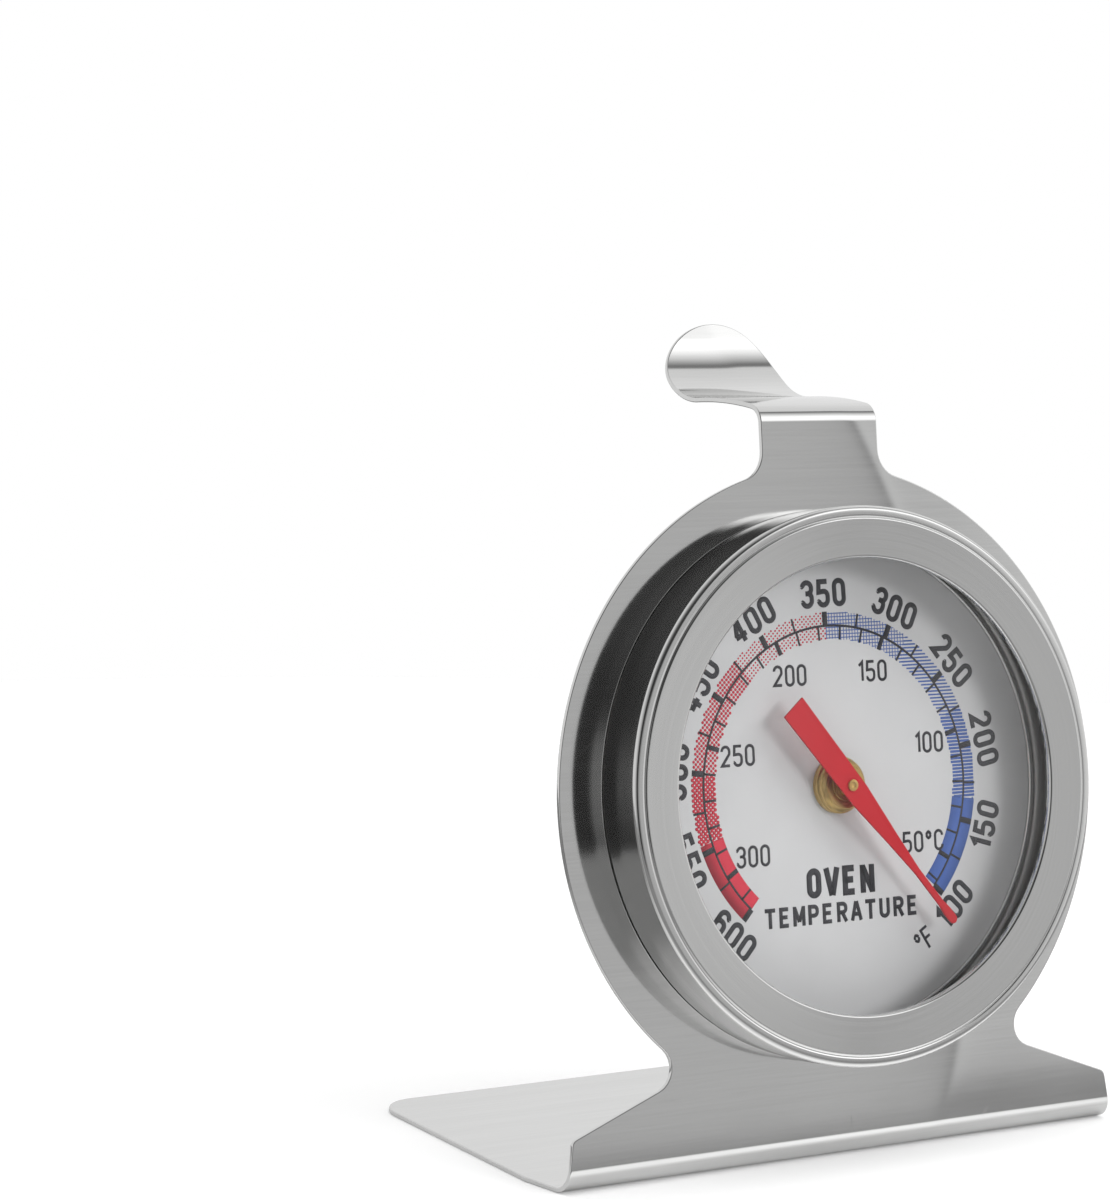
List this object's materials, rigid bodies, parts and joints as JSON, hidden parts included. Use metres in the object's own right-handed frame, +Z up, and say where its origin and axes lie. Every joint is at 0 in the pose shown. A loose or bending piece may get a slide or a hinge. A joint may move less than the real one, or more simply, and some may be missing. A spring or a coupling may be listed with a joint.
{
  "type": "oven thermometer",
  "caption": "Bimetal oven thermometer with a round dial under glass, on a bent sheet steel stand with a foot and a rack hook.",
  "frame": {"origin": "middle of the foot's underside, on the surface it stands on", "axes": "+Z up, +X to the right of the dial, +Y towards the foot's back edge; the dial faces -Y and leans back"},
  "size_m": [0.0706, 0.0427, 0.084],
  "materials": {
    "stand_steel": "satin rolled stainless sheet",
    "case_steel": "drawn stainless, turned lines",
    "rivet_steel": "headed steel, satin",
    "bezel_steel": "circular satin with a polished bead",
    "lens_glass": "clear flat glass",
    "gasket_fibre": "heat-proof fibre ring, matt",
    "dial_face": "satin silver, printed scale",
    "spring_wire": "drawn spring wire",
    "hub_brass": "turned brass",
    "nut_brass": "milled brass",
    "washer_steel": "stamped steel",
    "washer_brass": "stamped brass",
    "spindle_brass": "turned brass, peened end",
    "boss_brass": "turned brass",
    "pointer_red": "gloss red enamel on thin sheet",
    "clip_steel": "spring steel",
    "collet_brass": "turned brass",
    "bimetal": "rolled bimetal strip",
    "anchor_steel": "stamped steel"
  },
  "bodies": {
    "stand": {"stand_bracket": "stand_steel", "case_cup": "case_steel", "case_rivets": "rivet_steel", "bezel_ring": "bezel_steel", "lens_glass": "lens_glass", "lens_gasket": "gasket_fibre", "dial_plate": "dial_face", "dial_snap_ring": "spring_wire", "hub_bush": "hub_brass", "bush_washer": "washer_steel", "bush_nut": "nut_brass", "thrust_washer": "washer_brass", "bimetal_coil": "bimetal", "coil_anchor": "anchor_steel", "anchor_rivet": "rivet_steel", "coil_end_rivet": "rivet_steel"},
    "needle": {"spindle": "spindle_brass", "pointer_boss": "boss_brass", "pointer": "pointer_red", "spindle_clip": "clip_steel", "coil_collet": "collet_brass"}
  },
  "joints": [
    {"name": "pointer_turn", "type": "hinge", "parent": "stand", "child": "needle", "pos_m": [0, -0.01337, 0.03798], "axis": [0, -0.989, 0.1478], "range_deg": [-16, 284], "stiffness_Nm_per_rad": 0.0001}
  ]
}
